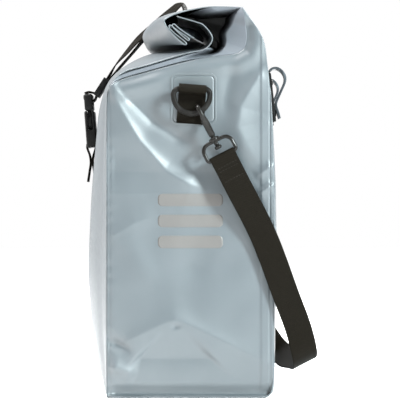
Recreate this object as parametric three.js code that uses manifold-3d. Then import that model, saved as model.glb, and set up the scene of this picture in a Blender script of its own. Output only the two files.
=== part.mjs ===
// A roll-top pannier bag: a welded fabric bag that hangs on a bicycle rack by two sprung
// hooks, closes with a strap and a side-release buckle, and carries a shoulder strap on
// two D-rings. Millimetres. X runs along the bicycle, -Y is the outer front face,
// +Y is the face at the rack and +Z is up. The origin is the middle of the base's underside.
import * as THREE from 'three';
import { mergeVertices } from 'three/addons/utils/BufferGeometryUtils.js';
import Module from 'manifold-3d';

const wasm = await Module();
wasm.setup();

// ---- driving dimensions ----
const BAG_WIDTH = 300;
const FABRIC = 1.6;
const GAP = 0.35;
const SEAM_Y = 92.7;
const HALF_PANEL = BAG_WIDTH / 2 - FABRIC - GAP;
const FRONT_BULGE = 29;
const FRONT_BULGE_START = -45;
const FRONT_BULGE_LENGTH = 420;

const WEBBING = 1.6;
const SHOULDER_WEBBING_WIDTH = 30;
const CLOSURE_WEBBING_WIDTH = 25;

const RING_X = 166;
const RING_CENTRE_Y = 2;
const RING_CENTRE_Z = 338;
const RING_RADIUS = 20.2;
const RING_ROD = 6;
const RING_BAR_RISE = 7.2;
const STRAP_ANGLE = THREE.MathUtils.degToRad(27.1);

const RACK_HOOK_X = 95;
const RACK_HOOK_Y = 91;
const RACK_HOOK_Z = 345;
const RACK_HOOK_TILT = THREE.MathUtils.degToRad(6.3);
const RACK_HOOK_WIDTH = 20;
const RIVET_HEIGHTS = [-24, 12];

const BUCKLE_Y = -121.4;
const BUCKLE_Z = 328.6;
const BUCKLE_TILT = THREE.MathUtils.degToRad(4.4);
const BUCKLE_WIDTH = 34;
const BUCKLE_THICKNESS = 12;
const BUCKLE_SLOT_WIDTH = 27;

const SIDES = { right: 1, left: -1 };

// ---- finishes ----
const finish = (color, roughness, metalness = 0) =>
  new THREE.MeshStandardMaterial({ color, roughness, metalness });
const coatedFabric = () => finish(0x9fadb5, 0.45);
const blackBoard = () => finish(0x25272a, 0.7);
const webbing = () => finish(0x23211c, 0.85);
const blackPlastic = () => finish(0x1c1d1f, 0.4);
const ringPlastic = () => finish(0x3a383c, 0.5);
const blackMetal = () => finish(0x17181a, 0.3, 0.9);
const springSteel = () => finish(0x50555c, 0.35, 0.9);
const reflective = () => finish(0xa8a8a8, 0.5);

const bag = new THREE.Group();

function addPiece(parent, name, geometry, material) {
  const mesh = new THREE.Mesh(geometry, material);
  mesh.name = name;
  parent.add(mesh);
  return mesh;
}

// ---- solid joins and cuts ----
function toSolid(geometry) {
  const bare = geometry.clone();
  bare.deleteAttribute('normal');
  bare.deleteAttribute('uv');
  const merged = mergeVertices(bare, 1e-4);
  const vertProperties = new Float32Array(merged.attributes.position.array);
  const triVerts = new Uint32Array(merged.index.array);
  return new wasm.Manifold(new wasm.Mesh({ numProp: 3, vertProperties, triVerts }));
}

function toGeometry(solid) {
  const mesh = solid.getMesh();
  const geometry = new THREE.BufferGeometry();
  geometry.setAttribute('position', new THREE.BufferAttribute(mesh.vertProperties, 3));
  geometry.setIndex(new THREE.BufferAttribute(mesh.triVerts, 1));
  return geometry;
}

function cut(geometry, cutters) {
  let solid = toSolid(geometry);
  for (const cutter of cutters) {
    solid = solid.subtract(toSolid(cutter));
  }
  return toGeometry(solid);
}

function join(geometries) {
  let solid = toSolid(geometries[0]);
  for (const geometry of geometries.slice(1)) {
    solid = solid.add(toSolid(geometry));
  }
  return toGeometry(solid);
}

// ---- shared shapes ----
function roundedRectangle(centreX, centreY, width, height, radius, Kind = THREE.Shape) {
  const shape = new Kind();
  const right = centreX + width / 2 - radius;
  const left = centreX - width / 2 + radius;
  const top = centreY + height / 2 - radius;
  const bottom = centreY - height / 2 + radius;
  shape.absarc(right, bottom, radius, -Math.PI / 2, 0);
  shape.absarc(right, top, radius, 0, Math.PI / 2);
  shape.absarc(left, top, radius, Math.PI / 2, Math.PI);
  shape.absarc(left, bottom, radius, Math.PI, Math.PI * 1.5);
  shape.closePath();
  return shape;
}

// A flat strip of even thickness along a smooth line through the points, seen on edge.
function bandShape(points, thickness, steps) {
  const line = new THREE.CatmullRomCurve3(
    points.map(([x, y]) => new THREE.Vector3(x, y, 0)), false, 'centripetal');
  const left = [];
  const right = [];
  for (let step = 0; step <= steps; step += 1) {
    const centre = line.getPointAt(step / steps);
    const along = line.getTangentAt(step / steps);
    const side = new THREE.Vector2(-along.y, along.x).multiplyScalar(thickness / 2);
    left.push(new THREE.Vector2(centre.x + side.x, centre.y + side.y));
    right.push(new THREE.Vector2(centre.x - side.x, centre.y - side.y));
  }
  return new THREE.Shape([...left, ...right.reverse()]);
}

const X_AXIS = new THREE.Vector3(1, 0, 0);
const Y_AXIS = new THREE.Vector3(0, 1, 0);
const Z_AXIS = new THREE.Vector3(0, 0, 1);
const PROFILE_IN_YZ = new THREE.Matrix4().makeBasis(Y_AXIS, Z_AXIS, X_AXIS);
const PROFILE_IN_XZ = new THREE.Matrix4().makeBasis(X_AXIS, Z_AXIS, Y_AXIS.clone().negate());

function extrudeCentred(shape, depth, bevel = 0, curveSegments = 3) {
  const geometry = new THREE.ExtrudeGeometry(shape, {
    depth: depth - 2 * bevel,
    bevelEnabled: bevel > 0,
    bevelThickness: bevel,
    bevelSize: bevel,
    bevelOffset: -bevel,
    bevelSegments: 1,
    curveSegments,
    steps: 1,
  });
  return geometry.translate(0, 0, -(depth - 2 * bevel) / 2);
}

// A profile drawn in Y and Z, extruded by a width along X about the middle given.
function acrossX(shape, width, middleX = 0, bevel = 0, curveSegments = 3) {
  return extrudeCentred(shape, width, bevel, curveSegments)
    .applyMatrix4(PROFILE_IN_YZ)
    .translate(middleX, 0, 0);
}

// A profile drawn in X and Z, extruded by a width along Y about the middle given.
function acrossY(shape, width, middleY = 0, bevel = 0) {
  return extrudeCentred(shape, width, bevel)
    .applyMatrix4(PROFILE_IN_XZ)
    .translate(0, middleY, 0);
}

function block(width, depth, height, x, y, z) {
  return new THREE.BoxGeometry(width, depth, height).translate(x, y, z);
}

// A slab whose points are placed one by one: across and along run from 0 to 1, and depth
// from -0.5 to 0.5 through its thickness.
function bentSlab(acrossSteps, alongSteps, place) {
  const geometry = new THREE.BoxGeometry(1, 1, 1, acrossSteps, alongSteps, 1);
  const position = geometry.attributes.position;
  for (let index = 0; index < position.count; index += 1) {
    const point = place(position.getX(index) + 0.5, position.getY(index) + 0.5, position.getZ(index));
    position.setXYZ(index, point.x, point.y, point.z);
  }
  return geometry;
}

// ---- fabric shell ----
const BACK_LINE = [
  [90.5, 0.3], [94, 40], [95, 103], [97, 188], [97, 232],
  [94.5, 274], [91.5, 331], [87, 372], [81, 403], [60, 434],
];
const SHOULDER = [-89, 357];
const COLLAR_TOP_Z = 438.6;

function frontBulge(height) {
  const phase = (height - FRONT_BULGE_START) / FRONT_BULGE_LENGTH;
  return phase < 1 ? FRONT_BULGE * Math.sin(Math.PI * phase) : 0;
}

// The front sheet rises from the base, turns over the shoulder and runs back under the
// roll, then round behind it.
function frontPanel() {
  const line = new THREE.CatmullRomCurve3([
    [-SEAM_Y, 0.3], [-SEAM_Y, 110], [-SEAM_Y, 220], [-SEAM_Y, 335], SHOULDER,
    [-45, 371], [5, 386], [20, 391], [26.5, 401], [20, 413], [2, 424], [-14, 429.5],
  ].map(([y, z]) => new THREE.Vector3(0, y, z)), false, 'centripetal');
  const geometry = bentSlab(8, 36, (across, along, depth) => {
    const centre = line.getPointAt(along);
    const direction = line.getTangentAt(along);
    const width = 2 * across - 1;
    const bulge = frontBulge(centre.z) * (1 - width * width);
    const y = centre.y - bulge - direction.z * depth * FABRIC;
    const z = centre.z + direction.y * depth * FABRIC;
    return new THREE.Vector3(width * HALF_PANEL, y, z);
  });
  return geometry;
}

function rivetCutters(radius, reach) {
  const cutters = [];
  for (const side of Object.values(SIDES)) {
    for (const height of RIVET_HEIGHTS) {
      const cutter = new THREE.CylinderGeometry(radius, radius, reach, 16);
      cutter.translate(0, 0, height);
      cutter.rotateX(RACK_HOOK_TILT);
      cutter.translate(side * RACK_HOOK_X, RACK_HOOK_Y, RACK_HOOK_Z);
      cutters.push(cutter);
    }
  }
  return cutters;
}

const RIVET_HOLE_RADIUS = 2.6;

function backPanel() {
  const sheet = acrossX(bandShape(BACK_LINE, FABRIC, 26), 2 * HALF_PANEL);
  return cut(sheet, rivetCutters(RIVET_HOLE_RADIUS, 40));
}

// The gusset plate closes one narrow side. Its top edge runs from the front shoulder to
// the back of the roll and on to the ridge at the top of the back panel.
function sideGusset(side) {
  const shape = new THREE.Shape();
  shape.moveTo(-SEAM_Y - FABRIC / 2, 0.3);
  shape.lineTo(-SEAM_Y - FABRIC / 2, 335);
  shape.quadraticCurveTo(-SEAM_Y, 352, ...SHOULDER);
  shape.lineTo(16, 389);
  shape.bezierCurveTo(30, 394, 32, 408, 8, 424);
  shape.lineTo(-2, COLLAR_TOP_Z - 6);
  shape.lineTo(20, COLLAR_TOP_Z);
  shape.lineTo(55, COLLAR_TOP_Z);
  const backEdge = BACK_LINE.slice(0, -1).reverse();
  for (const [y, z] of backEdge) {
    shape.lineTo(y + FABRIC / 2, z);
  }
  shape.closePath();
  return acrossX(shape, FABRIC, side * (BAG_WIDTH / 2 - FABRIC / 2));
}

// The collar runs forward from the ridge and is rolled up on its stiffener.
function rolledCollar() {
  const line = [
    [55, 438], [17, 438], [-8, 436], [-36, 426], [-52, 409], [-50, 393.5], [-36, 388],
    [-12, 388], [6, 390.5], [17, 397], [17, 406], [6, 415], [-12, 423], [-32, 418],
    [-43, 406], [-38, 397], [-20, 395.5], [-4, 397], [3, 402],
  ];
  return acrossX(bandShape(line, FABRIC, 64), 2 * HALF_PANEL);
}

function basePanel() {
  const shape = new THREE.Shape();
  const front = -SEAM_Y + FABRIC / 2 + GAP;
  const back = 89;
  shape.moveTo(front, 0);
  shape.lineTo(back - 3, 0);
  shape.quadraticCurveTo(back, 0, back, FABRIC);
  shape.lineTo(back, 2);
  shape.lineTo(front, 2);
  shape.closePath();
  return acrossX(shape, 2 * HALF_PANEL);
}

function buildShell() {
  addPiece(bag, 'front_panel', frontPanel(), coatedFabric());
  addPiece(bag, 'back_panel', backPanel(), coatedFabric());
  addPiece(bag, 'rolled_collar', rolledCollar(), coatedFabric());
  addPiece(bag, 'base_panel', basePanel(), coatedFabric());
  for (const [name, side] of Object.entries(SIDES)) {
    addPiece(bag, `side_gusset_${name}`, sideGusset(side), coatedFabric());
  }
}

// ---- stiffeners inside the bag ----
const BOARD = 3;
const BACK_BOARD_Y = 85;

function buildBoards() {
  const backBoard = acrossY(roundedRectangle(0, 181, 272, 338, 14), BOARD, BACK_BOARD_Y);
  addPiece(bag, 'back_board', cut(backBoard, rivetCutters(RIVET_HOLE_RADIUS, 40)), blackBoard());
  const baseBoard = block(284, 168, BOARD, 0, -2, 2 + GAP + BOARD / 2);
  addPiece(bag, 'base_board', baseBoard, blackBoard());
  const strip = acrossX(roundedRectangle(-19, 406.5, 30, 3, 1.4), 288);
  addPiece(bag, 'collar_stiffener', strip, blackBoard());
}

// ---- reflective bars ----
const BAR_LENGTH = 73;
const BAR_HEIGHT = 14;
const BAR_HEIGHTS = { upper: 221.8, middle: 198.3, lower: 174.8 };
const FILM = 0.4;

function buildReflectiveBars() {
  for (const [sideName, side] of Object.entries(SIDES)) {
    for (const [place, height] of Object.entries(BAR_HEIGHTS)) {
      const outline = roundedRectangle(0.5, height, BAR_LENGTH, BAR_HEIGHT, 5);
      const film = acrossX(outline, FILM, side * (BAG_WIDTH / 2 + GAP + FILM / 2));
      addPiece(bag, `reflective_bar_${sideName}_${place}`, film, reflective());
    }
  }
}

// ---- D-ring, its welded patch and its webbing tab ----
const PATCH = 0.8;

function ringPatch(side) {
  const outline = roundedRectangle(4, 335, 52, 58, 8);
  return acrossX(outline, PATCH, side * (BAG_WIDTH / 2 + GAP + PATCH / 2));
}

// The tab is one length of webbing: up the patch, round the ring's straight bar, and back
// down over itself.
function ringTab(side) {
  const barZ = RING_CENTRE_Z + RING_BAR_RISE;
  const loop = RING_ROD / 2 + 1.1 + WEBBING / 2;
  const inner = BAG_WIDTH / 2 + GAP + PATCH + 0.6 + WEBBING / 2;
  const outer = inner + WEBBING + 0.5;
  const line = [
    [inner, 307], [inner, 322], [inner, 334], [inner + 3, barZ - 2], [RING_X - loop, barZ + loop * 0.4],
    [RING_X - loop * 0.6, barZ + loop * 0.8],
    [RING_X, barZ + loop], [RING_X + loop * 0.7, barZ + loop * 0.7], [RING_X + loop, barZ],
    [RING_X + loop * 0.7, barZ - loop * 0.7], [RING_X, barZ - loop], [RING_X - 4.5, barZ - loop - 0.9],
    [outer + 1.4, 335], [outer, 327], [outer, 309],
  ].map(([x, z]) => [side * x, z]);
  return acrossY(bandShape(line, WEBBING, 44), SHOULDER_WEBBING_WIDTH, 3);
}

function dOutline(radius, Kind) {
  const outline = new Kind();
  const cornerRadius = 3 + radius - RING_RADIUS + RING_ROD / 2;
  const top = RING_CENTRE_Z + RING_BAR_RISE + radius - RING_RADIUS;
  const right = RING_CENTRE_Y + radius;
  const left = RING_CENTRE_Y - radius;
  outline.absarc(RING_CENTRE_Y, RING_CENTRE_Z, radius, Math.PI, 2 * Math.PI);
  outline.absarc(right - cornerRadius, top - cornerRadius, cornerRadius, 0, Math.PI / 2);
  outline.absarc(left + cornerRadius, top - cornerRadius, cornerRadius, Math.PI / 2, Math.PI);
  outline.closePath();
  return outline;
}

function dRing(side) {
  const shape = dOutline(RING_RADIUS + RING_ROD / 2, THREE.Shape);
  shape.holes.push(dOutline(RING_RADIUS - RING_ROD / 2, THREE.Path));
  return acrossX(shape, RING_ROD, side * RING_X, 1.6, 8);
}

function buildRings() {
  for (const [name, side] of Object.entries(SIDES)) {
    addPiece(bag, `ring_patch_${name}`, ringPatch(side), coatedFabric());
    addPiece(bag, `ring_tab_${name}`, ringTab(side), webbing());
    addPiece(bag, `d_ring_${name}`, dRing(side), ringPlastic());
  }
}

// ---- snap hook, gate and swivel ring ----
// Drawn about the ring's centre with +Y towards it, so the ring's rod is at -RING_RADIUS.
const HOOK_WIRE = 4;
const HOOK_BEND = 7.2;
const HOOK_BARREL_TOP = -38;
const HOOK_BARREL_BOTTOM = -50;
const SWIVEL_BORE = 2.5;
const OVAL_CENTRE = -66;
const OVAL_WIRE = 3.4;
const OVAL_LENGTH = 38.4;
const OVAL_HEIGHT = 22;
const NOSE_END = -RING_RADIUS - 3.4;
const GATE_PIVOT = [-5.4, -36.4];

function snapHook(side) {
  const path = new THREE.CurvePath();
  const point = (x, y) => new THREE.Vector3(side * x, y, 0);
  const bendSteps = 8;
  const points = [point(-HOOK_BEND, NOSE_END), point(-HOOK_BEND, NOSE_END + 1.6)];
  for (let step = 0; step <= bendSteps; step += 1) {
    const angle = Math.PI * (1 - step / bendSteps);
    points.push(point(HOOK_BEND * Math.cos(angle), -RING_RADIUS + HOOK_BEND * Math.sin(angle)));
  }
  points.push(point(HOOK_BEND, -26), point(HOOK_BEND, -32), point(5.4, -37.5), point(1.5, -42));
  path.add(new THREE.CatmullRomCurve3(points, false, 'centripetal'));
  const section = new THREE.Shape().absarc(0, 0, HOOK_WIRE / 2, 0, 2 * Math.PI);
  const wire = new THREE.ExtrudeGeometry(section, {
    steps: 26, curveSegments: 5, bevelEnabled: false, extrudePath: path,
  });
  const barrelHeight = HOOK_BARREL_TOP - HOOK_BARREL_BOTTOM;
  const barrelMiddle = (HOOK_BARREL_TOP + HOOK_BARREL_BOTTOM) / 2;
  const barrel = new THREE.CylinderGeometry(4.2, 4.6, barrelHeight, 20).translate(0, barrelMiddle, 0);
  const ear = block(4.6, 6, 5.4, side * (GATE_PIVOT[0] + 1.6), GATE_PIVOT[1] - 1.8, 0);
  const gateSlot = block(7, 8.4, 3.2, side * (GATE_PIVOT[0] - 0.6), GATE_PIVOT[1] + 0.6, 0);
  const bore = new THREE.CylinderGeometry(SWIVEL_BORE, SWIVEL_BORE, 40, 16).translate(0, -54, 0);
  const headRoom = new THREE.CylinderGeometry(3.6, 3.6, 6, 16).translate(0, HOOK_BARREL_TOP + 0.7, 0);
  return cut(join([wire, barrel, ear]), [bore, headRoom, gateSlot]);
}

// The gate is a sprung finger that closes the hook's mouth on the side of the bag.
function hookGate(side) {
  const tip = [-HOOK_BEND, NOSE_END - 0.8];
  const shape = new THREE.Shape();
  const pivot = GATE_PIVOT;
  shape.moveTo(side * (pivot[0] - 1.5), pivot[1] - 1.2);
  shape.lineTo(side * (pivot[0] + 1.5), pivot[1] - 1.2);
  shape.lineTo(side * (pivot[0] + 1.5), pivot[1] + 2.5);
  shape.lineTo(side * (tip[0] + 1.6), tip[1]);
  shape.lineTo(side * (tip[0] - 1.6), tip[1]);
  shape.closePath();
  return extrudeCentred(shape, 2.6);
}

// Round at the hook's end and nearly square at the strap's end.
function ovalOutline(inset, Kind) {
  const outline = new Kind();
  const half = OVAL_LENGTH / 2 - inset;
  const near = OVAL_CENTRE + OVAL_HEIGHT / 2 - inset;
  const far = OVAL_CENTRE - OVAL_HEIGHT / 2 + inset;
  const round = 10.4 - inset;
  const tight = 4.6 - inset;
  outline.absarc(near - round, half - round, round, 0, Math.PI / 2);
  outline.absarc(far + tight, half - tight, tight, Math.PI / 2, Math.PI);
  outline.absarc(far + tight, -half + tight, tight, Math.PI, Math.PI * 1.5);
  outline.absarc(near - round, -half + round, round, -Math.PI / 2, 0);
  outline.closePath();
  return outline;
}

function swivelRing() {
  const wireRadius = OVAL_WIRE / 2;
  const outline = ovalOutline(0, THREE.Shape);
  outline.holes.push(ovalOutline(OVAL_WIRE, THREE.Path));
  const oval = acrossX(outline, OVAL_WIRE, 0, wireRadius * 0.55, 4);
  const studTop = HOOK_BARREL_TOP - 1.2;
  const studBottom = OVAL_CENTRE + OVAL_HEIGHT / 2 - wireRadius;
  const stud = new THREE.CylinderGeometry(2, 2, studTop - studBottom, 14)
    .translate(0, (studTop + studBottom) / 2, 0);
  const head = new THREE.CylinderGeometry(3, 3, 1.6, 14).translate(0, studTop, 0);
  return join([oval, stud, head]);
}

// The strap's end is folded round the oval ring's lower bar and stitched to itself.
const STRAP_START = -96;
const STRAP_END_WIDTH = 28.6;

function strapEnd() {
  const barY = OVAL_CENTRE - OVAL_HEIGHT / 2 + OVAL_WIRE / 2;
  const loop = OVAL_WIRE / 2 + 0.5;
  const outer = loop + WEBBING;
  const shape = new THREE.Shape();
  shape.absarc(0, barY, outer, 0, Math.PI);
  shape.lineTo(-outer, barY - 3);
  shape.lineTo(-WEBBING, barY - 9);
  shape.lineTo(-WEBBING, STRAP_START);
  shape.lineTo(WEBBING, STRAP_START);
  shape.lineTo(WEBBING, barY - 9);
  shape.lineTo(outer, barY - 3);
  shape.closePath();
  const eye = new THREE.Path();
  eye.absarc(0, barY, loop, 0, Math.PI);
  eye.lineTo(-loop, barY - 2);
  eye.lineTo(0, barY - 6);
  eye.lineTo(loop, barY - 2);
  eye.closePath();
  shape.holes.push(eye);
  return extrudeCentred(shape, STRAP_END_WIDTH);
}

function hookFrame(side) {
  const group = new THREE.Group();
  group.position.set(side * RING_X, RING_CENTRE_Y, RING_CENTRE_Z);
  group.rotation.x = Math.PI / 2 + STRAP_ANGLE;
  bag.add(group);
  return group;
}

function buildHooks() {
  for (const [name, side] of Object.entries(SIDES)) {
    const group = hookFrame(side);
    addPiece(group, `snap_hook_${name}`, snapHook(side), blackMetal());
    addPiece(group, `hook_gate_${name}`, hookGate(side), blackMetal());
    addPiece(group, `swivel_ring_${name}`, swivelRing(), blackMetal());
    addPiece(group, `strap_end_${name}`, strapEnd(), webbing());
  }
}

// ---- shoulder strap ----
// The strap hangs as one long loop: down the right side, behind the bag near its foot, and
// up the left side. Its width lies in the plane of the sides.
const STRAP_WIDTH_TILT = THREE.MathUtils.degToRad(29);

function strapLine() {
  const start = -STRAP_START + 0.6;
  const top = (side) => [
    side * RING_X,
    RING_CENTRE_Y + start * Math.sin(STRAP_ANGLE),
    RING_CENTRE_Z - start * Math.cos(STRAP_ANGLE),
  ];
  const second = (side) => [
    side * RING_X,
    RING_CENTRE_Y + (start + 20) * Math.sin(STRAP_ANGLE),
    RING_CENTRE_Z - (start + 20) * Math.cos(STRAP_ANGLE),
  ];
  const points = [
    top(1), second(1), [RING_X, 82, 182], [RING_X, 107, 116], [RING_X - 1, 120, 80],
    [RING_X - 9, 126, 52], [RING_X - 32, 129, 39.5], [70, 126, 33], [0, 120, 28.5], [-70, 116, 28],
    [-RING_X + 32, 112.5, 30], [-RING_X + 6, 104, 38], [-RING_X + 0.5, 93, 56], [-RING_X, 86, 80],
    [-RING_X, 85.5, 110], [-RING_X, 86, 145], [-RING_X, 80.5, 182], [-RING_X, 69, 207],
    second(-1), top(-1),
  ];
  return new THREE.CatmullRomCurve3(points.map((point) => new THREE.Vector3(...point)), false, 'centripetal');
}

function widthDirection(along) {
  const reference = new THREE.Vector3(0, Math.cos(STRAP_WIDTH_TILT), Math.sin(STRAP_WIDTH_TILT));
  return reference.addScaledVector(along, -reference.dot(along)).normalize();
}

function shoulderStrap() {
  const line = strapLine();
  return bentSlab(1, 70, (across, along, depth) => {
    const centre = line.getPointAt(along);
    const direction = line.getTangentAt(along);
    const width = widthDirection(direction);
    const normal = new THREE.Vector3().crossVectors(direction, width);
    centre.addScaledVector(width, (across - 0.5) * SHOULDER_WEBBING_WIDTH);
    return centre.addScaledVector(normal, -depth * WEBBING);
  });
}

// The adjuster is a flat loop that the strap runs through, high on the left side.
const ADJUSTER_PLACE = 0.943;

function strapAdjuster() {
  const body = block(7.6, 42, 24, 0, 0, 0);
  const passage = block(3.8, 34.5, 30, 0, 0, 0);
  const windows = [-6, 6].map((height) => block(20, 34.5, 6, 0, 0, height));
  return cut(body, [passage, ...windows]);
}

function buildShoulderStrap() {
  addPiece(bag, 'shoulder_strap', shoulderStrap(), webbing());
  const line = strapLine();
  const place = line.getPointAt(ADJUSTER_PLACE);
  const direction = line.getTangentAt(ADJUSTER_PLACE);
  const group = new THREE.Group();
  group.position.copy(place);
  group.rotation.x = Math.atan2(-direction.y, direction.z);
  bag.add(group);
  addPiece(group, 'strap_adjuster', strapAdjuster(), blackPlastic());
}

// ---- rack hooks ----
// Drawn with +Y out of the back panel, which leans in towards its top.
const PLATE_FACE = 3.6;

function hookPlate() {
  const shape = roundedRectangle(0, -6, 34, 56, 5);
  for (const height of RIVET_HEIGHTS) {
    shape.holes.push(new THREE.Path().absarc(0, height, RIVET_HOLE_RADIUS, 0, 2 * Math.PI));
  }
  return acrossY(shape, PLATE_FACE - 0.6, (PLATE_FACE + 0.6) / 2);
}

function rackHook() {
  const line = [
    [2.1, 23.9], [5.2, 26.6], [11, 27], [16, 23.6], [19.4, 17], [19, 11],
    [12.5, -1], [6.4, -12], [5.6, -16], [7.2, -24], [8.2, -31],
  ];
  return acrossX(bandShape(line, 2.6, 40), RACK_HOOK_WIDTH);
}

// A rivet holds the plate through the panel to the board, and its inner head bears on the
// board's inside face.
function rivet(height) {
  const shank = 2.1;
  const outside = PLATE_FACE + 0.3;
  const boardInside = BACK_BOARD_Y - BOARD / 2 - 0.8 - RACK_HOOK_Y;
  const inside = (boardInside + height * Math.sin(RACK_HOOK_TILT)) / Math.cos(RACK_HOOK_TILT);
  return new THREE.LatheGeometry([
    new THREE.Vector2(0, inside - 1.2), new THREE.Vector2(3.6, inside - 1.2),
    new THREE.Vector2(3.6, inside), new THREE.Vector2(shank, inside),
    new THREE.Vector2(shank, outside), new THREE.Vector2(4.4, outside),
    new THREE.Vector2(3.4, outside + 1.2), new THREE.Vector2(0, outside + 1.6),
  ], 16);
}

function buildRackHooks() {
  for (const [name, side] of Object.entries(SIDES)) {
    const group = new THREE.Group();
    group.position.set(side * RACK_HOOK_X, RACK_HOOK_Y, RACK_HOOK_Z);
    group.rotation.x = RACK_HOOK_TILT;
    bag.add(group);
    addPiece(group, `rack_hook_plate_${name}`, hookPlate(), blackPlastic());
    addPiece(group, `rack_hook_${name}`, rackHook(), springSteel());
    for (const [index, height] of RIVET_HEIGHTS.entries()) {
      const piece = addPiece(group, `plate_rivet_${name}_${['lower', 'upper'][index]}`, rivet(height), blackMetal());
      piece.position.z = height;
    }
  }
}

// ---- closure strap and its anchors ----
function closureStrap() {
  const line = [
    [96.6, 290], [93.8, 331], [89.6, 371], [84, 404], [64, 440.5], [34, 446], [4, 455.5],
    [-10, 455], [-30, 442.5], [-59, 419.5], [-90, 384], [-100.4, 366.8], [-108.4, 354.3],
    [-113.4, 346.4], [-115.6, 341.5], [-120, 339.3], [-126, 339.8],
  ];
  return acrossX(bandShape(line, WEBBING, 60), CLOSURE_WEBBING_WIDTH);
}

// A point in front of the bulging front panel, at the middle of its width.
function beforeFront(height, standOff) {
  return [-SEAM_Y - FABRIC / 2 - frontBulge(height) - standOff, height];
}

// The lower strap lies on the front panel, goes through the buckle's slot and hangs down
// over itself.
function anchorStrap() {
  const line = [
    beforeFront(212, 1.8), beforeFront(230, 1.8), beforeFront(248, 1.8), beforeFront(264, 1.8),
    beforeFront(276, 1.8), [-114, 286], [-114.6, 290.2], [-118.6, 291.6], [-123.2, 290.4],
    [-124.4, 285], beforeFront(272, 7), beforeFront(258, 4.4), beforeFront(242, 4.2),
  ];
  return acrossX(bandShape(line, WEBBING, 48), CLOSURE_WEBBING_WIDTH);
}

// A welded patch that holds the end of a strap on a curved face.
function anchorPatch(line, width) {
  return acrossX(bandShape(line, 1, 8), width);
}

function frontAnchorPatch() {
  const line = [198, 208, 218, 228].map((height) => beforeFront(height, 3.6));
  return anchorPatch(line, 40);
}

function keeperSleeve() {
  const shape = roundedRectangle(0, 0, 31, 7.4, 1.5);
  shape.holes.push(roundedRectangle(0, 0, 27, 4.6, 0.8, THREE.Path));
  return extrudeCentred(shape, 24);
}

const BACK_ANCHOR_LINE = [[97.5, 264], [98.6, 278], [98.7, 294], [97.8, 312]];

function buildClosureStrap() {
  addPiece(bag, 'closure_strap', closureStrap(), webbing());
  addPiece(bag, 'buckle_anchor_strap', anchorStrap(), webbing());
  addPiece(bag, 'front_anchor_patch', frontAnchorPatch(), coatedFabric());
  addPiece(bag, 'back_anchor_patch', anchorPatch(BACK_ANCHOR_LINE, 40),
    coatedFabric());
  const group = new THREE.Group();
  group.position.set(0, -106.8, 356.8);
  group.rotation.x = -THREE.MathUtils.degToRad(32.6);
  bag.add(group);
  addPiece(group, 'strap_keeper', keeperSleeve(), blackPlastic());
}

// ---- side-release buckle ----
// Drawn with +Y along the pull of the strap and +Z out of the bag's front.
function buckleFemale() {
  const shape = new THREE.Shape();
  const half = BUCKLE_WIDTH / 2;
  shape.moveTo(-half + 2, -44);
  shape.lineTo(half - 2, -44);
  shape.quadraticCurveTo(half, -44, half, -41);
  shape.lineTo(half, -28);
  shape.quadraticCurveTo(half - 2.2, -17, half, -6);
  shape.lineTo(half - 0.6, -0.2);
  shape.lineTo(-half + 0.6, -0.2);
  shape.lineTo(-half, -6);
  shape.quadraticCurveTo(-half + 2.2, -17, -half, -28);
  shape.lineTo(-half, -41);
  shape.quadraticCurveTo(-half, -44, -half + 2, -44);
  const body = extrudeCentred(shape, BUCKLE_THICKNESS, 1.4, 5);
  const cavity = block(27.6, 30, 6.6, 0, -12, 0);
  const sideSlots = block(60, 26, 5.8, 0, -10, 0);
  const webbingSlot = block(BUCKLE_SLOT_WIDTH, 5.6, 40, 0, -37.5, 0);
  const barFaces = [-1, 1].map((face) => block(BUCKLE_SLOT_WIDTH, 8, 6, 0, -44, face * 6));
  return cut(body, [cavity, sideSlots, webbingSlot, ...barFaces]);
}

function buckleMale() {
  const frame = roundedRectangle(0, 10.3, 33, 19.6, 3);
  frame.holes.push(roundedRectangle(0, 10.2, BUCKLE_SLOT_WIDTH, 4.8, 0.8, THREE.Path));
  const body = extrudeCentred(frame, 10, 1.2, 4);
  const tongue = block(6, 26, 3.6, 0, -11.5, 0);
  return join([body, tongue]);
}

const PRONG_ROOT = -0.9;

function buckleProng(side) {
  const shape = new THREE.Shape();
  shape.moveTo(side * 8.6, PRONG_ROOT);
  shape.lineTo(side * 12.4, PRONG_ROOT);
  shape.lineTo(side * 12.4, -6);
  shape.quadraticCurveTo(side * 15.6, -8, side * 15.8, -14);
  shape.quadraticCurveTo(side * 15.6, -20, side * 9.8, -22.4);
  shape.lineTo(side * 8.8, -18);
  shape.closePath();
  return extrudeCentred(shape, 4.8, 0.7, 4);
}

function buildBuckle() {
  const group = new THREE.Group();
  group.position.set(0, BUCKLE_Y, BUCKLE_Z);
  group.rotation.x = Math.PI / 2 + BUCKLE_TILT;
  bag.add(group);
  addPiece(group, 'buckle_female', buckleFemale(), blackPlastic());
  addPiece(group, 'buckle_male', buckleMale(), blackPlastic());
  for (const [name, side] of Object.entries(SIDES)) {
    addPiece(group, `buckle_prong_${name}`, buckleProng(side), blackPlastic());
  }
}

buildShell();
buildBoards();
buildReflectiveBars();
buildRings();
buildHooks();
buildShoulderStrap();
buildRackHooks();
buildClosureStrap();
buildBuckle();

export default bag;
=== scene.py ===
"""A roll-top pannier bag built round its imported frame. Lengths in the lists are millimetres."""
import math

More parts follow.
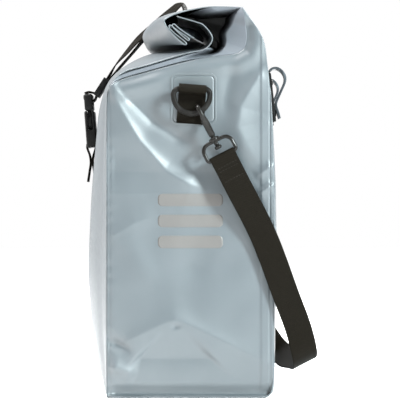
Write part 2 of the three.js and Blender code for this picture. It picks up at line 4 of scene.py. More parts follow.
import bpy
import numpy as np
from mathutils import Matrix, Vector


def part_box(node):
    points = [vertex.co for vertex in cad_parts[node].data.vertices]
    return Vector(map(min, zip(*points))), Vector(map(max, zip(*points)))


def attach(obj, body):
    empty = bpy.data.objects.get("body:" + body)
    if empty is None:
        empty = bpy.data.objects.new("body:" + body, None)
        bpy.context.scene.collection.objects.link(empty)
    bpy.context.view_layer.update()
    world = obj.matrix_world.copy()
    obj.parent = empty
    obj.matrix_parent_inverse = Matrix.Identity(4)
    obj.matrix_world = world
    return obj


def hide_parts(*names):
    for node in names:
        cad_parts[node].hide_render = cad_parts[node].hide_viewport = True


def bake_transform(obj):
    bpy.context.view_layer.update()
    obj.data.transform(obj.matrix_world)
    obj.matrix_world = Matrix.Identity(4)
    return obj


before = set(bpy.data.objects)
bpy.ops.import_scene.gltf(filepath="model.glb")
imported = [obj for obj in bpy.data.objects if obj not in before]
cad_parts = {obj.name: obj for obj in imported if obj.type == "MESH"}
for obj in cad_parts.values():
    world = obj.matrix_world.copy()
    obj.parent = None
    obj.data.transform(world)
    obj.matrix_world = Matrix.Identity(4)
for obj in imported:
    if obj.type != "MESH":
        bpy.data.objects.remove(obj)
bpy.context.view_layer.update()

MM = 0.001


def box_mm(node):
    """Lowest and highest corner of a CAD node, in millimetres."""
    low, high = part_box(node)
    return np.array(low) / MM, np.array(high) / MM


# ---- driving dimensions: the gusset and the ring come from the frame ----
SIDES = {"right": 1.0, "left": -1.0}
GUSSET_LOW, GUSSET_HIGH = box_mm("side_gusset_right")
# How far the crossing sheets end inside the gusset's outer plane.
SHEET_STEP = 0.6
HALF_WIDTH = GUSSET_HIGH[0] - SHEET_STEP
GUSSET_PLANE = HALF_WIDTH + SHEET_STEP
SEAM_FRONT = GUSSET_LOW[1] + 0.8
RING_LOW, RING_HIGH = box_mm("d_ring_right")
RING_ROD = 3.0
RING_X = (RING_LOW[0] + RING_HIGH[0]) / 2
RING_Y = (RING_LOW[1] + RING_HIGH[1]) / 2
RING_RADIUS = (RING_HIGH[1] - RING_LOW[1]) / 2 - RING_ROD
RING_Z = RING_LOW[2] + RING_RADIUS + RING_ROD
# The strap's lean from the vertical as it leaves the ring, its way down and its width direction.
STRAP_ANGLE = math.radians(27.1)
STRAP_AWAY = np.array([0.0, math.sin(STRAP_ANGLE), -math.cos(STRAP_ANGLE)])
STRAP_ACROSS = np.array([0.0, math.cos(STRAP_ANGLE), math.sin(STRAP_ANGLE)])
# Thickness of the fabric and the webbing, and the widths of the three kinds of webbing.
FABRIC = 1.1
WEBBING = 1.5
STRAP_WIDTH = 30
TAB_WIDTH = 31
CLOSURE_WIDTH = 25
# How deep the closure strap presses into the roll.
STRAP_BITE = 5.5


# ---- curves and grids ----
def vec(*values):
    return np.array(values, float)


def with_ends(points):
    """The points with one more beyond each end, straight on from the last two."""
    p = np.array(points, float)
    return np.vstack([2 * p[0] - p[1], p, 2 * p[-1] - p[-2]])


def spline(points, count):
    """A centripetal Catmull-Rom curve through the points, as count points evenly spaced along it."""
    p = with_ends(points)
    fine = []
    for i in range(len(p) - 3):
        quad = p[i:i + 4]
        knots = [0.0]
        for a, b in zip(quad[:-1], quad[1:]):
            knots.append(knots[-1] + max(np.linalg.norm(b - a), 1e-6) ** 0.5)
        steps = np.linspace(knots[1], knots[2], 24, endpoint=False)
        for t in steps:
            fine.append(catmull_point(quad, knots, t))
    fine.append(p[-2])
    fine = np.array(fine)
    lengths = run_along(fine)
    wanted = np.linspace(0, lengths[-1], count)
    return np.stack([np.interp(wanted, lengths, fine[:, k]) for k in range(fine.shape[1])], axis=1)


def run_along(line):
    """Distance from the start to each point of a line."""
    steps = np.linalg.norm(np.diff(line, axis=0), axis=1)
    return np.concatenate([[0], np.cumsum(steps)])


def catmull_point(quad, knots, t):
    def mix(a, b, ta, tb):
        return (tb - t) / (tb - ta) * a + (t - ta) / (tb - ta) * b
    first = [mix(quad[k], quad[k + 1], knots[k], knots[k + 1]) for k in range(3)]
    second = [mix(first[k], first[k + 1], knots[k], knots[k + 2]) for k in range(2)]
    return mix(second[0], second[1], knots[1], knots[2])


def mesh_object(name, vertices, faces, materials, uvs=None):
    """A new object from vertices in millimetres; uvs are millimetres too, one for each face corner."""
    mesh = bpy.data.meshes.new(name)
    mesh.from_pydata([tuple(v * MM) for v in np.asarray(vertices)], [], faces)
    mesh.update()
    mesh.polygons.foreach_set("use_smooth", [True] * len(mesh.polygons))
    if uvs is not None:
        layer = mesh.uv_layers.new(name="strip")
        layer.data.foreach_set("uv", np.asarray(uvs, float).ravel())
    obj = bpy.data.objects.new(name, mesh)
    bpy.context.scene.collection.objects.link(obj)
    for material in materials:
        obj.data.materials.append(material)
    return obj


def grid_object(name, grid, materials, flip=False):
    """A surface through a grid of points with rows along the second axis."""
    rows, columns = grid.shape[:2]
    faces = []
    for r in range(rows - 1):
        for c in range(columns - 1):
            a = r * columns + c
            face = (a, a + 1, a + columns + 1, a + columns)
            faces.append(face[::-1] if flip else face)
    return mesh_object(name, grid.reshape(-1, 3), faces, materials)


def thicken(obj, thickness, offset=-1.0):
    """Gives a sheet its thickness; its inner side takes the second material."""
    solid = obj.modifiers.new("thickness", "SOLIDIFY")
    solid.thickness = thickness * MM
    solid.offset = offset
    solid.material_offset = 1 if len(obj.data.materials) > 1 else 0
    solid.material_offset_rim = 0
    return obj


def smoothstep(value, low, high):
    t = np.clip((value - low) / (high - low), 0, 1)
    return t * t * (3 - 2 * t)


# ---- materials ----
def new_material(name):
    material = bpy.data.materials.new(name)
    material.use_nodes = True
    tree = material.node_tree
    shader = tree.nodes["Principled BSDF"]
    return material, tree, shader


def add_node(tree, kind, **settings):
    node = tree.nodes.new(kind)
    for key, value in settings.items():
        setattr(node, key, value)
    return node


def object_place(tree):
    """Texture coordinates in the object's own metres."""
    return add_node(tree, "ShaderNodeTexCoord").outputs["Object"]


def strip_place(tree):
    """Texture coordinates in millimetres across and along a strip of webbing."""
    return add_node(tree, "ShaderNodeUVMap", uv_map="strip").outputs["UV"]


def noise(tree, vector, scale, detail=3.0, roughness=0.5):
    node = add_node(tree, "ShaderNodeTexNoise")
    node.inputs["Scale"].default_value = scale
    node.inputs["Detail"].default_value = detail
    node.inputs["Roughness"].default_value = roughness
    tree.links.new(vector, node.inputs["Vector"])
    return node.outputs["Fac"]


def wave(tree, vector, scale, direction, distortion=0.0):
    node = add_node(tree, "ShaderNodeTexWave", wave_type="BANDS", bands_direction=direction)
    node.inputs["Scale"].default_value = scale
    node.inputs["Distortion"].default_value = distortion
    tree.links.new(vector, node.inputs["Vector"])
    return node.outputs["Fac"]


def math_node(tree, operation, first, second):
    node = add_node(tree, "ShaderNodeMath", operation=operation)
    for socket, value in zip(node.inputs, (first, second)):
        if isinstance(value, (int, float)):
            socket.default_value = value
        else:
            tree.links.new(value, socket)
    return node.outputs[0]


def ramp(tree, factor, stops):
    node = add_node(tree, "ShaderNodeValToRGB")
    while len(node.color_ramp.elements) < len(stops):
        node.color_ramp.elements.new(0.5)
    for element, (position, color) in zip(node.color_ramp.elements, stops):
        element.position = position
        element.color = (*color, 1.0)
    tree.links.new(factor, node.inputs["Fac"])
    return node.outputs["Color"]


def bump(tree, shader, height, strength, distance):
    node = add_node(tree, "ShaderNodeBump")
    node.inputs["Strength"].default_value = strength
    node.inputs["Distance"].default_value = distance
    tree.links.new(height, node.inputs["Height"])
    tree.links.new(node.outputs["Normal"], shader.inputs["Normal"])


def coated_fabric(name, dark, light, roughness=0.47):
    """Coated tarpaulin: satin, with a faint woven base showing through the coating."""
    material, tree, shader = new_material(name)
    place = object_place(tree)
    clouds = noise(tree, place, 9.0, 4.0)
    shader.inputs["Specular IOR Level"].default_value = 0.68
    tree.links.new(ramp(tree, clouds, [(0.3, dark), (0.7, light)]), shader.inputs["Base Color"])
    scuffs = noise(tree, place, 160.0, 5.0, 0.65)
    rough = math_node(tree, "ADD", math_node(tree, "MULTIPLY", scuffs, 0.16), roughness - 0.08)
    tree.links.new(rough, shader.inputs["Roughness"])
    weave = math_node(tree, "MULTIPLY", wave(tree, place, 290.0, "Y"), wave(tree, place, 290.0, "Z"))
    speckle = math_node(tree, "MULTIPLY", noise(tree, place, 900.0, 2.0), 0.7)
    grain = math_node(tree, "ADD", weave, speckle)
    bump(tree, shader, grain, 0.22, 0.0002)
    return material


def painted_shade_fold_fabric(name, light, dark, shade_starts_at, shade_full_at):
    """Coated fabric with painted shade: its colour darkens between two distances from the middle as it goes
    into the fold, standing in for the shade deep in the fold.
    """
    material, tree, shader = new_material(name)
    place = object_place(tree)
    split = add_node(tree, "ShaderNodeSeparateXYZ")
    tree.links.new(place, split.inputs[0])
    sideways = math_node(tree, "ABSOLUTE", split.outputs["X"], 0)
    # Painted shade: the colour runs from the open colour towards near black as the sheet goes further in
    # towards the middle.
    depth = math_node(tree, "SUBTRACT", shade_starts_at * MM, sideways)
    inward = math_node(tree, "DIVIDE", depth, (shade_starts_at - shade_full_at) * MM)
    clouds = math_node(tree, "MULTIPLY", noise(tree, place, 30.0, 3.0), 0.25)
    tone = math_node(tree, "ADD", inward, math_node(tree, "SUBTRACT", clouds, 0.12))
    tree.links.new(ramp(tree, tone, [(0.0, light), (1.0, dark)]), shader.inputs["Base Color"])
    shader.inputs["Roughness"].default_value = 0.5
    shader.inputs["Specular IOR Level"].default_value = 0.3
    bump(tree, shader, noise(tree, place, 900.0, 2.0), 0.2, 0.0002)
    return material


def webbing_material(name):
    """Woven tape: fine cross ribs with a twill slant and lighter fuzz."""
    material, tree, shader = new_material(name)
    place = strip_place(tree)
    ribs = wave(tree, place, 0.30, "Y", 0.6)
    threads = wave(tree, place, 0.42, "X", 0.4)
    slant = wave(tree, place, 0.24, "DIAGONAL", 0.5)
    body = math_node(tree, "MULTIPLY", math_node(tree, "ADD", ribs, slant), threads)
    fuzz = noise(tree, place, 1.4, 4.0, 0.7)
    height = math_node(tree, "ADD", body, math_node(tree, "MULTIPLY", fuzz, 0.5))
    from_body = math_node(tree, "MULTIPLY", body, 0.28)
    from_fuzz = math_node(tree, "MULTIPLY", fuzz, 0.5)
    tone = math_node(tree, "ADD", from_body, from_fuzz)
    color = ramp(tree, tone, [(0.12, WEBBING_DARK), (0.75, WEBBING_LIGHT)])
    tree.links.new(color, shader.inputs["Base Color"])
    shader.inputs["Roughness"].default_value = 0.6
    shader.inputs["Specular IOR Level"].default_value = 0.03
    bump(tree, shader, height, 0.7, 0.0005)
    return material


def moulded_plastic(name, color, roughness):
    material, tree, shader = new_material(name)
    place = object_place(tree)
    grain = noise(tree, place, 1500.0, 3.0)
    wear = noise(tree, place, 60.0, 5.0, 0.7)
    low = tuple(c * 0.8 for c in color)
    high = tuple(min(1.0, c * 1.35 + 0.004) for c in color)
    tree.links.new(ramp(tree, wear, [(0.35, low), (0.72, high)]), shader.inputs["Base Color"])
    rough = math_node(tree, "ADD", math_node(tree, "MULTIPLY", wear, 0.2), roughness - 0.1)
    tree.links.new(rough, shader.inputs["Roughness"])
    shader.inputs["Specular IOR Level"].default_value = 0.08
    shader.inputs["IOR"].default_value = 1.3
    bump(tree, shader, grain, 0.25, 0.0001)
    return material


def coated_metal(name, color, roughness, metallic):
    material, tree, shader = new_material(name)
    place = object_place(tree)
    wear = noise(tree, place, 90.0, 6.0, 0.7)
    high = tuple(c * 1.5 + 0.004 for c in color)
    tree.links.new(ramp(tree, wear, [(0.45, color), (0.8, high)]), shader.inputs["Base Color"])
    rough = math_node(tree, "ADD", math_node(tree, "MULTIPLY", wear, 0.18), roughness - 0.08)
    tree.links.new(rough, shader.inputs["Roughness"])
    shader.inputs["Metallic"].default_value = metallic
    shader.inputs["Specular IOR Level"].default_value = 0.2
    shader.inputs["IOR"].default_value = 1.35
    bump(tree, shader, noise(tree, place, 700.0, 3.0), 0.12, 0.0001)
    return material


def reflective_film(name):
    """Glass-bead film: warm grey with a fine sparkle of beads."""
    material, tree, shader = new_material(name)
    place = object_place(tree)
    beads = add_node(tree, "ShaderNodeTexVoronoi")
    beads.inputs["Scale"].default_value = 1400.0
    tree.links.new(place, beads.inputs["Vector"])
    from_beads = math_node(tree, "MULTIPLY", beads.outputs["Distance"], 0.35)
    from_clouds = math_node(tree, "MULTIPLY", noise(tree, place, 45.0, 4.0), 0.65)
    mottled = math_node(tree, "ADD", from_beads, from_clouds)
    color = ramp(tree, mottled, [(0.25, FILM_DARK), (0.7, FILM_LIGHT)])
    tree.links.new(color, shader.inputs["Base Color"])
    shader.inputs["Roughness"].default_value = 0.5
    bump(tree, shader, beads.outputs["Distance"], 0.3, 0.0001)
    return material


GREY_DARK = (0.032, 0.041, 0.047)
GREY_LIGHT = (0.043, 0.052, 0.058)
PATCH_DARK = (0.040, 0.049, 0.054)
PATCH_LIGHT = (0.048, 0.057, 0.062)
LINING_DARK = (0.006, 0.006, 0.006)
LINING_LIGHT = (0.012, 0.012, 0.012)
# The fold's colour where it opens, and the painted shade it darkens to deep inside the fold.
FOLD_OPEN = (0.066, 0.073, 0.083)
FOLD_PAINTED_SHADE = (0.004, 0.004, 0.004)
WEBBING_DARK = (0.0015, 0.0012, 0.0008)
WEBBING_LIGHT = (0.009, 0.0072, 0.0048)
FILM_DARK = (0.050, 0.047, 0.045)
FILM_LIGHT = (0.059, 0.055, 0.052)
FABRIC_OUT = coated_fabric("coated_fabric_outside", GREY_DARK, GREY_LIGHT)
FABRIC_PATCH = coated_fabric("coated_fabric_patch", PATCH_DARK, PATCH_LIGHT, 0.4)
FABRIC_IN = coated_fabric("coated_fabric_inside", LINING_DARK, LINING_LIGHT, 0.6)
# The tuck's material, with painted shade deep in the fold.
FABRIC_FOLD_PAINTED_SHADE = painted_shade_fold_fabric("coated_fabric_fold_painted_shade", FOLD_OPEN, FOLD_PAINTED_SHADE, 138, 108)
WOVEN = webbing_material("wide_webbing")
PLASTIC = moulded_plastic("black_moulding", (0.006, 0.006, 0.006), 0.36)
RING_PLASTIC = moulded_plastic("ring_moulding", (0.006, 0.0055, 0.005), 0.42)
BLACK_METAL = coated_metal("black_gloss_metal", (0.005, 0.0045, 0.004), 0.24, 0.0)
STEEL = coated_metal("dark_spring_steel", (0.03, 0.034, 0.038), 0.35, 0.6)
FILM = reflective_film("bead_film")
THREAD = moulded_plastic("stitch_thread", (0.011, 0.0095, 0.008), 0.7)


# ---- camera, light and stage: distances in metres ----
CAMERA_DISTANCE = 2.0
FIELD_WIDTH = 0.448
SENSOR = 36.0
AIM_Y = 0.0112
AIM_Z = 0.2218
LIGHT_AIM = (0, 0, 0.22)
# Each light's name, place, diameter, power and colour.
LIGHTS = [
    ("key", (1.60, 1.62, 1.22), 0.5, 224, (0.86, 0.985, 1.0)),
    ("front_fill", (-0.3, -1.9, 0.5), 0.9, 24, (1.0, 0.94, 0.91)),
    ("back_fill", (-1.8, 0.9, 1.1), 1.0, 40, (1.0, 1.0, 1.0)),
    ("top", (0.2, -1.0, 2.1), 1.0, 175, (1.0, 1.0, 1.0)),
]
FLOOR_HALF = 6.0
FLOOR_DROP = 0.3


def build_camera():
    data = bpy.data.cameras.new("camera")
    data.sensor_width = SENSOR
    data.lens = SENSOR * CAMERA_DISTANCE / FIELD_WIDTH
    camera = bpy.data.objects.new("camera", data)
    bpy.context.scene.collection.objects.link(camera)
    near_side = GUSSET_HIGH[0] * MM
    camera.location = (near_side + CAMERA_DISTANCE, AIM_Y, AIM_Z)
    camera.rotation_euler = (math.pi / 2, 0, math.pi / 2)
    bpy.context.scene.camera = camera


def area_light(name, place, size, power, color):
    data = bpy.data.lights.new(name, "AREA")
    data.shape = "DISK"
    data.size = size
    data.energy = power
    data.color = color
    light = bpy.data.objects.new(name, data)
    bpy.context.scene.collection.objects.link(light)
    light.location = place
    light.rotation_euler = (Vector(LIGHT_AIM) - Vector(place)).to_track_quat("-Z", "Y").to_euler()


def build_stage():
    for light in LIGHTS:
        area_light(*light)
    world = bpy.data.worlds.new("studio")
    bpy.context.scene.world = world
    world.use_nodes = True
    sky = world.node_tree.nodes["Background"]
    sky.inputs["Color"].default_value = (1, 1, 1, 1)
    sky.inputs["Strength"].default_value = 1.0
    half = FLOOR_HALF / MM
    corners = [vec(a * half, b * half, -FLOOR_DROP) for a, b in ((-1, -1), (1, -1), (1, 1), (-1, 1))]
    material, tree, shader = new_material("pale_floor")
    shader.inputs["Base Color"].default_value = (0.97, 0.97, 0.97, 1)
    shader.inputs["Roughness"].default_value = 0.9
    shader.inputs["Specular IOR Level"].default_value = 0.03
    floor = mesh_object("floor", corners, [(0, 1, 2, 3)], [material])
    bpy.context.scene.view_settings.view_transform = "Standard"


# ---- the gusset's relief ----
def segment_distance(y, z, start, end):
    """Distance from (y, z) to a segment, and how far along it the nearest point is, from 0 to 1."""
    dy, dz = end[0] - start[0], end[1] - start[1]
    along = np.clip(((y - start[0]) * dy + (z - start[1]) * dz) / (dy * dy + dz * dz), 0, 1)
    return np.hypot(y - start[0] - along * dy, z - start[1] - along * dz), along


def ridge(y, z, points, height, width, fade=0.35):
    """A soft ridge, or a valley if height is negative, along a line that fades at its far end."""
    total = np.zeros_like(y)
    count = len(points) - 1
    for index, (start, end) in enumerate(zip(points[:-1], points[1:])):
        distance, along = segment_distance(y, z, start, end)
        place = (index + along) / count
        strength = 1 - smoothstep(place, 1 - fade, 1.0)
        total = np.maximum(total, strength / (1 + (distance / width) ** 2) ** 1.5)
    return height * total


def fold(y, z, points, heights, right, left, fade=0.25, rounding=1.6):
    """A crest along a line, drawn away from its start: each side falls off over its own width."""
    best = np.full_like(y, 1e6)
    beside = np.zeros_like(y)
    place = np.zeros_like(y)
    count = len(points) - 1
    for index, (start, end) in enumerate(zip(points[:-1], points[1:])):
        distance, along = segment_distance(y, z, start, end)
        length = math.dist(start, end)
        cross = ((y - start[0]) * (end[1] - start[1]) - (z - start[1]) * (end[0] - start[0])) / length
        nearer = distance < best
        best = np.where(nearer, distance, best)
        beside = np.where(nearer, cross, beside)
        place = np.where(nearer, (index + along) / count, place)
    reach = left + (right - left) * smoothstep(beside, -3.0, 3.0)
    reach = reach * (0.3 + 0.7 * place)
    height = np.interp(place, np.linspace(0, 1, len(heights)), heights)
    ends = (1 - smoothstep(place, 1 - fade, 1.0)) * (0.25 + 0.75 * smoothstep(place, 0.0, 0.12))
    soft = np.sqrt(best ** 2 + rounding ** 2) - rounding
    return height * ends * np.exp(-soft / reach)


def puff(y, z, centre, height, radius_y, radius_z):
    return height * np.exp(-((y - centre[0]) / radius_y) ** 2 - ((z - centre[1]) / radius_z) ** 2)


def wander(y, z, seed):
    """Low, slow waves in the cloth."""
    rng = np.random.default_rng(seed)
    total = np.zeros_like(y)
    waves = 7
    for _ in range(waves):
        ky, kz = rng.normal(0, 0.045, 2)
        total += np.sin(ky * y + kz * z + rng.uniform(0, 6.28)) / waves
    return total


# Folds of the upper gusset: the line as (Y, Z), the heights along it, how far it spreads to the right and
# to the left, and how much of its far end fades out.
UPPER_FOLDS = [
    ([(-91, 349), (-77, 322), (-56, 287), (-28, 256), (0, 238), (22, 232)],
     (1.5, 3.5, 5.5, 6.5, 5), 34, 11, 0.25),
    ([(-84, 352), (-64, 331), (-42, 310), (-14, 293), (4, 284)], (-1.5, -4, -5, -3), 7, 26, 0.25),
    ([(84, 372), (70, 349), (56, 326), (53, 303), (62, 283), (84, 254)], (2, 5.5, 6.5, 6.5, 3), 20, 26, 0.2),
    ([(94, 262), (80, 252), (72, 246)], (3, 2), 7, 9, 0.4),
    ([(94, 240), (82, 232), (70, 226)], (4, 3), 6, 8, 0.4),
]
# Soft ridges and valleys of the gusset: the line, the height, the half width and the fade.
VALLEY_BEHIND_RING = ([(46, 366), (40, 335), (42, 300)], -3.0, 12, 0.5)
LOWER_RIDGES = [
    ([(34, 232), (22, 190), (6, 150), (-6, 112)], -3.4, 24, 0.5),
    ([(-70, 172), (-50, 140), (-44, 112)], 2.2, 20, 0.5),
]
SEAM_HOLLOW = ([(-96, 64), (-80, 59), (-60, 50)], -8.0, 8.0, 0.6)


def upper_folds(y, z):
    """The folds that fan out from the front shoulder and from the back edge, and the roll below the lip."""
    total = ridge(y, z, *VALLEY_BEHIND_RING)
    for crease in UPPER_FOLDS:
        total += fold(y, z, *crease)
    kink = np.clip(z - 229, 0, 24) * smoothstep(z, 227.5, 230) * (1 - smoothstep(y, 20, 60))
    total -= 0.11 * kink * (1 - smoothstep(z, 262, 300))
    nearest = np.full_like(y, 1e6)
    for start, end in zip(LIP[1:-3], LIP[2:-2]):
        nearest = np.minimum(nearest, segment_distance(y, z, start, end)[0])
    total += 3.6 * np.exp(-((nearest - 13) / 9) ** 2) - 2.0 * np.exp(-(nearest / 6) ** 2)
    return total


def lower_folds(y, z):
    """The pushed-in corner of the foot: a low peak over a sunken facet, a hollow by the seam and the foot."""
    crest = 88 - 0.5 * (np.sqrt((y + 17) ** 2 + 64) - 8)
    above = z - crest
    bulge = 7.2 * np.exp(-np.sqrt(above ** 2 + 4) / np.where(above > 0, 13, 26))
    bulge *= 0.35 + 0.65 * np.exp(-((y + 20) / 48) ** 2)
    corner = 84 - 1.05 * (np.sqrt((y + 17) ** 2 + 4) - 2)
    facet = np.maximum(6.8 - 0.26 * (84 - z), -3.6)
    inside = smoothstep(corner - z, -8, 2) * smoothstep(z, 18, 52)
    apron = 3.0 * (1 - smoothstep(z, 14, 64))
    total = (bulge - apron) * (1 - inside) + facet * inside
    for soft_line in LOWER_RIDGES:
        total += ridge(y, z, *soft_line)
    fullness = 2.0 * (1 - smoothstep(z, 90, 160))
    total += fullness
    total += puff(y, z, (-16, 81), -2.6, 5, 3)
    total += ridge(y, z, *SEAM_HOLLOW)
    total += fold(y, z, [(-99, 35), (-82, 34), (-58, 26)], (9, 10, 4), 8, 13)
    total += fold(y, z, [(-92, 178), (-62, 196), (-34, 206)], (1, 1.5, 1), 12, 14)
    pulled_back = 1.5 * smoothstep(y, 40, 92) * (1 - smoothstep(z, 190, 225))
    tucked_under = 7.5 * (1 - smoothstep(z, 3, 18))
    total -= pulled_back
    total -= tucked_under
    return total


# How far the gusset may stand out or sink in, and the most that keeps it off the base board's edge.
MOST_OUTWARD = 9.5
MOST_INWARD = 6.5
CLEAR_OF_BOARD = 5.4


def gusset_relief(y, z, side):
    """How far the gusset stands out from its flat plane, in millimetres."""
    relief = 1.1 * wander(y, z, 3 if side > 0 else 4)
    relief += upper_folds(y, z) + lower_folds(y, z)
    limit = np.where(relief > 0, MOST_OUTWARD, MOST_INWARD)
    relief = limit * np.tanh(relief / limit)
    seam_pucker = 0.5 * np.sin(z / 3.1 + 1.7 * np.sin(z / 11)) * np.exp(-((y - SEAM_FRONT) / 6) ** 2)
    back_weld = 0.9 * smoothstep(y, 78, 81) * smoothstep(z, 3, 12)
    relief += seam_pucker
    relief += back_weld
    flat_ring = np.exp(-((y - 4) / 34) ** 4 - ((z - 335) / 38) ** 4)
    flat_bars = 0.75 * np.exp(-(y / 48) ** 6 - ((z - 198) / 44) ** 6)
    relief *= (1 - 0.85 * flat_ring) * (1 - flat_bars * 0.6)
    border = smoothstep(y, SEAM_FRONT - 0.5, SEAM_FRONT + 10) * smoothstep(z, 0, 3.5)
    relief = relief * (0.45 + 0.55 * border)
    front_weld_line = 1.2 * np.exp(-((y - SEAM_FRONT - 2.2) / 0.9) ** 2)
    back_weld_line = 0.9 * np.exp(-((y - 89.5) / 0.8) ** 2) * smoothstep(z, 4, 12)
    relief -= front_weld_line
    relief -= back_weld_line
    relief = np.maximum(relief, -CLEAR_OF_BOARD)
    base_flange = 2.2 * (1 - smoothstep(z, 2.4, 4.2))
    relief += base_flange
    return relief - 0.8


def gusset_x(y, z, side):
    """The gusset's outer face at (y, z), held to its own side."""
    return side * (GUSSET_PLANE + gusset_relief(y, z, side))


def finish_sheet(obj, node):
    """Thickens a sheet of the bag's shell, which stands in for one CAD node."""
    thicken(obj, FABRIC)
    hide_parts(node)
    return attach(obj, "root")


# ---- outlines of the shell, seen from the side ----
# Each point of the gusset's folded lip, the point of the sheets that it faces across the fold,
# the width of the open face beside the lip, and the width of the face under the top sheet.
FOLD = [
    ((-91, 349), (-91, 350), 0, 0), ((-78.5, 356.3), (-77.7, 363), 0, 0), ((-45, 366), (-45, 373.6), 0, 0),
    ((-3, 377), (-3, 386), 0, 0), ((30, 383.5), (18, 391.5), 2, 0), ((50, 386), (24, 398), 13, 0),
    ((60, 391.5), (24, 406), 20, 0), ((63.5, 401), (8, 423), 24, 1), ((63, 416), (-6, 432.5), 16, 6),
    ((61, 428), (24, 437.6), 9, 11), ((58.5, 437.5), (57.5, 438), 1, 1),
]
LIP = [point for point, *_ in FOLD]
FOLD_EDGE = [edge for _, edge, *_ in FOLD]
BACK_EDGE = [
    (84, 1), (90.5, 4), (93, 14), (93.6, 60), (94.2, 130), (94.6, 200), (93.4, 274), (91, 331), (87, 372),
    (81.5, 403), (60, 437.5),
]


def coons(bottom, top, left, right):
    """A surface blended between four border curves that meet at their corners."""
    columns, rows = len(bottom), len(left)
    u = np.linspace(0, 1, columns)[None, :, None]
    v = np.linspace(0, 1, rows)[:, None, None]
    across = (1 - v) * bottom[None] + v * top[None]
    up = (1 - u) * left[:, None] + u * right[:, None]
    corners = ((1 - u) * (1 - v) * bottom[0] + u * (1 - v) * bottom[-1]
               + (1 - u) * v * top[0] + u * v * top[-1])
    return across + up - corners


def build_gusset(name, side):
    columns, rows = 130, 230
    bottom = spline([(SEAM_FRONT, 0.6), (0, 0.4), (84, 0.6)], columns)
    top = spline(LIP, columns)
    left = spline([(SEAM_FRONT, 0.6), (SEAM_FRONT, 180), (SEAM_FRONT + 0.2, 320), (-91, 349)], rows)
    right = spline([(84, 0.6)] + BACK_EDGE[1:-1] + [LIP[-1]], rows)
    flat = coons(bottom, top, left, right)
    y, z = flat[..., 0], flat[..., 1]
    grid = np.stack([gusset_x(y, z, side), y, z], axis=-1)
    obj = grid_object(f"gusset_sheet_{name}", grid, [FABRIC_OUT, FABRIC_IN], flip=side < 0)
    return finish_sheet(obj, f"side_gusset_{name}")


def through(points, steps):
    """A smooth curve with the same number of steps between each two points."""
    p = with_ends(points)
    curve = []
    for i in range(len(p) - 3):
        a, b, c, d = p[i:i + 4]
        for t in np.linspace(0, 1, steps, endpoint=False):
            curve.append(0.5 * (2 * b + (c - a) * t + (2 * a - 5 * b + 4 * c - d) * t ** 2
                                + (3 * b - a - 3 * c + d) * t ** 3))
    curve.append(p[-2])
    return np.array(curve)


# Depths of the fold's open part and of the stretch behind the curl, and the slopes of its two faces.
POCKET_DEPTH = 56
CURL_DEPTH = 46
LIP_SLOPE = 0.42
EDGE_SLOPE = 0.35


def fold_depth(place, across, span, face, top_face):
    """How deep the fold goes in between the lip and the sheets, in millimetres."""
    from_lip, from_edge = across * span, (1 - across) * span
    lip_side = LIP_SLOPE * np.minimum(from_lip, face) + POCKET_DEPTH * smoothstep(from_lip - face, 0, 11)
    behind_curl = CURL_DEPTH * smoothstep(place, 4.0, 5.0) * (1 - smoothstep(place, 8.0, 9.0))
    edge_side = EDGE_SLOPE * np.minimum(from_edge, top_face)
    edge_side = edge_side + POCKET_DEPTH * smoothstep(from_edge - top_face, 0, 9)
    edge_side = np.maximum(edge_side, behind_curl)
    pocket = np.minimum(lip_side, edge_side)
    closed = 0.9 + 5 * np.exp(-((across - 0.1) / 0.08) ** 2) + 7 * np.exp(-((across - 0.92) / 0.08) ** 2)
    closed *= smoothstep(across, 0, 0.05)
    shut = 1 - smoothstep(place, 2.6, 4.2)
    return shut * closed + (1 - shut) * pocket


def build_tuck(name, side):
    steps, rows = 14, 60
    lip, edge = through(LIP, steps), through(FOLD_EDGE, steps)
    faces = through([(face, top) for *_, face, top in FOLD], steps)
    place = np.linspace(0, len(FOLD) - 1, len(lip))
    across = np.linspace(0, 1, rows)[:, None]
    span = np.linalg.norm(edge - lip, axis=1)
    depth = fold_depth(place, across, span, np.maximum(faces[:, 0], 0), np.maximum(faces[:, 1], 0))
    flat = lip + (edge - lip) * across[..., None]
    outer = gusset_x(lip[:, 0], lip[:, 1], side) * side
    start = outer * (1 - across) + (HALF_WIDTH - 0.5) * across
    grid = np.stack([side * (start - 0.2 - depth), flat[..., 0], flat[..., 1]], axis=-1)
    # The tuck sheet takes the material with painted shade deep in the fold.
    obj = grid_object(f"gusset_tuck_{name}", grid, [FABRIC_FOLD_PAINTED_SHADE], flip=side < 0)
    thicken(obj, 0.6, 0.0)
    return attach(obj, "root")


# ---- sheets that run from side to side ----
def crossing_sheet(end, middle, columns, rows, power, reach, wobble=0.0, seed=1):
    """A grid that follows the end outline at both sides and the middle outline between them."""
    at_end, at_middle = spline(end, rows), spline(middle, rows)
    s = np.linspace(-1, 1, columns)
    weight = 1 - np.abs(s) ** power
    flat = at_end[:, None] * (1 - weight)[None, :, None] + at_middle[:, None] * weight[None, :, None]
    x = np.broadcast_to(s * reach, flat.shape[:2])
    if wobble:
        shift = wobble * wander(x, flat[..., 1], seed) * (1 - s ** 8)
        flat = flat + np.stack([shift, shift * 0.2], axis=-1)
    return np.stack([x, flat[..., 0], flat[..., 1]], axis=-1)


